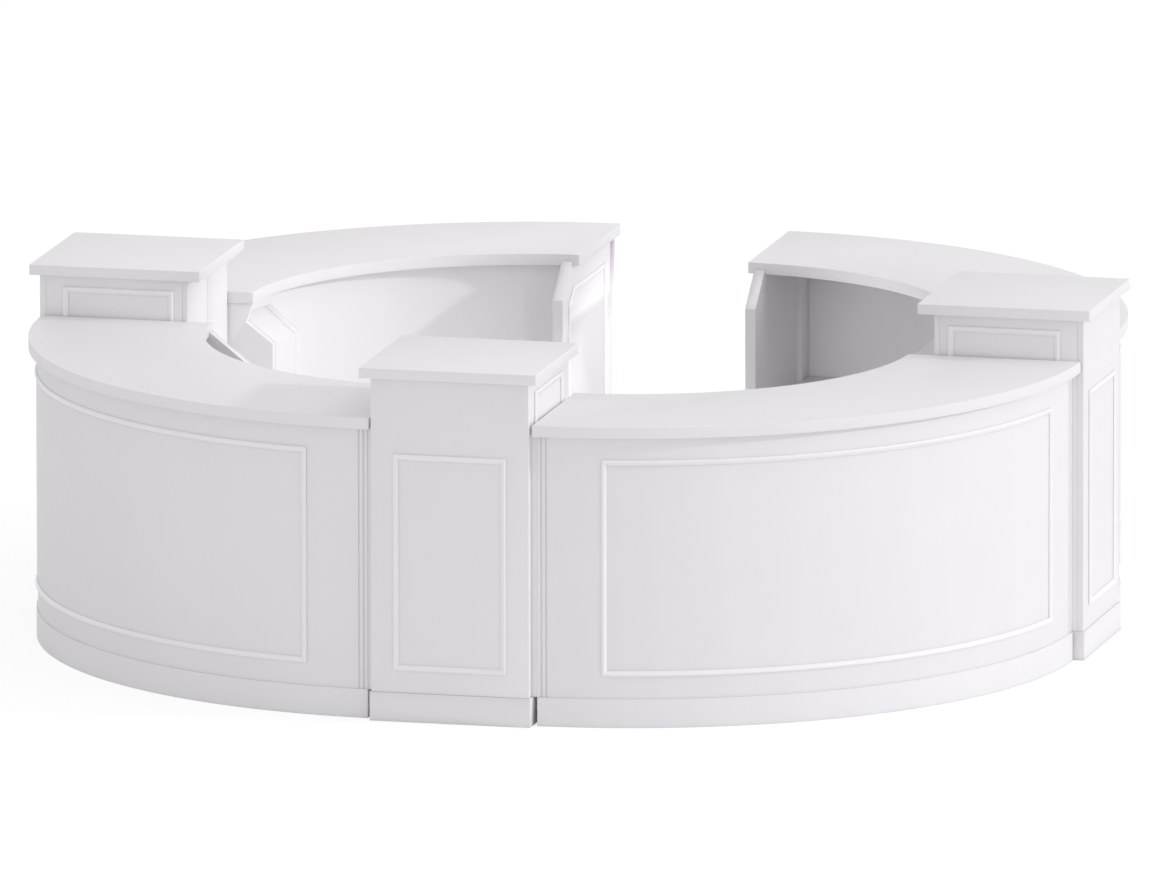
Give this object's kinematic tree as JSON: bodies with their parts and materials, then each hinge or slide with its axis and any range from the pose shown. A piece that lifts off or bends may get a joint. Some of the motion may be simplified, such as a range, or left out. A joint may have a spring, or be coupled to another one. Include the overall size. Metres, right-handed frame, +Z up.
{
  "type": "reception desk",
  "caption": "Ring-shaped white reception desk of curved counter units between square cupboard columns, with moulded panels and an open way in.",
  "frame": {"origin": "on the floor under the middle of the desk's outline", "axes": "+Z up, +X toward the right-hand column, -Y toward the visitors at the front column, +Y toward the way in"},
  "size_m": [3.844, 3.8054, 1.256],
  "materials": {
    "counter_paint": "satin white paint",
    "panel_paint": "satin white paint",
    "plinth_paint": "satin white paint",
    "moulding_paint": "satin white paint",
    "carcass_paint": "satin white paint",
    "door_paint": "satin white paint"
  },
  "bodies": {
    "desk": {"front_left_countertop": "counter_paint", "front_left_front_panel": "panel_paint", "front_left_plinth": "plinth_paint", "front_left_panel_moulding": "moulding_paint", "front_left_end_panel_left": "panel_paint", "front_left_end_panel_front": "panel_paint", "front_left_shelf": "carcass_paint", "front_right_countertop": "counter_paint", "front_right_front_panel": "panel_paint", "front_right_plinth": "plinth_paint", "front_right_panel_moulding": "moulding_paint", "front_right_end_panel_front": "panel_paint", "front_right_end_panel_right": "panel_paint", "front_right_shelf": "carcass_paint", "back_right_countertop": "counter_paint", "back_right_front_panel": "panel_paint", "back_right_plinth": "plinth_paint", "back_right_panel_moulding": "moulding_paint", "back_right_end_panel_right": "panel_paint", "back_right_end_panel_entrance": "panel_paint", "back_right_end_moulding": "moulding_paint", "back_right_shelf": "carcass_paint", "back_left_countertop": "counter_paint", "back_left_front_panel": "panel_paint", "back_left_plinth": "plinth_paint", "back_left_panel_moulding": "moulding_paint", "back_left_end_panel_entrance": "panel_paint", "back_left_end_panel_left": "panel_paint", "back_left_end_moulding": "moulding_paint", "back_left_inner_panel": "panel_paint", "back_left_end_box": "panel_paint", "back_left_box_side": "panel_paint", "front_column_cap": "counter_paint", "front_column_carcass": "carcass_paint", "front_column_front_board": "panel_paint", "front_column_plinth": "plinth_paint", "front_column_front_moulding": "moulding_paint", "front_column_side_moulding_left": "moulding_paint", "front_column_side_moulding_right": "moulding_paint", "right_column_cap": "counter_paint", "right_column_carcass": "carcass_paint", "right_column_front_board": "panel_paint", "right_column_plinth": "plinth_paint", "right_column_front_moulding": "moulding_paint", "right_column_side_moulding_left": "moulding_paint", "right_column_side_moulding_right": "moulding_paint", "left_column_cap": "counter_paint", "left_column_carcass": "carcass_paint", "left_column_front_board": "panel_paint", "left_column_plinth": "plinth_paint", "left_column_front_moulding": "moulding_paint", "left_column_side_moulding_left": "moulding_paint", "left_column_side_moulding_right": "moulding_paint"},
    "front_column_door_left_leaf": {"front_column_door_left": "door_paint"},
    "front_column_door_right_leaf": {"front_column_door_right": "door_paint"},
    "right_column_door_left_leaf": {"right_column_door_left": "door_paint"},
    "right_column_door_right_leaf": {"right_column_door_right": "door_paint"},
    "left_column_door_left_leaf": {"left_column_door_left": "door_paint"},
    "left_column_door_right_leaf": {"left_column_door_right": "door_paint"}
  },
  "joints": [
    {"name": "right_column_door_left_hinge", "type": "hinge", "parent": "desk", "child": "right_column_door_left_leaf", "pos_m": [1.354, 0.3022, 0.66], "axis": [0, 0, -1], "range_deg": [0, 90]},
    {"name": "right_column_door_right_hinge", "type": "hinge", "parent": "desk", "child": "right_column_door_right_leaf", "pos_m": [1.354, -0.2637, 0.66], "axis": [0, 0, 1], "range_deg": [0, 90]},
    {"name": "left_column_door_left_hinge", "type": "hinge", "parent": "desk", "child": "left_column_door_left_leaf", "pos_m": [-1.354, -0.2637, 0.66], "axis": [0, 0, -1], "range_deg": [0, 90]},
    {"name": "left_column_door_right_hinge", "type": "hinge", "parent": "desk", "child": "left_column_door_right_leaf", "pos_m": [-1.354, 0.3022, 0.66], "axis": [0, 0, 1], "range_deg": [0, 90]},
    {"name": "front_column_door_left_hinge", "type": "hinge", "parent": "desk", "child": "front_column_door_left_leaf", "pos_m": [0.283, -1.3348, 0.66], "axis": [0, 0, -1], "range_deg": [0, 90]},
    {"name": "front_column_door_right_hinge", "type": "hinge", "parent": "desk", "child": "front_column_door_right_leaf", "pos_m": [-0.283, -1.3348, 0.66], "axis": [0, 0, 1], "range_deg": [0, 90]}
  ]
}
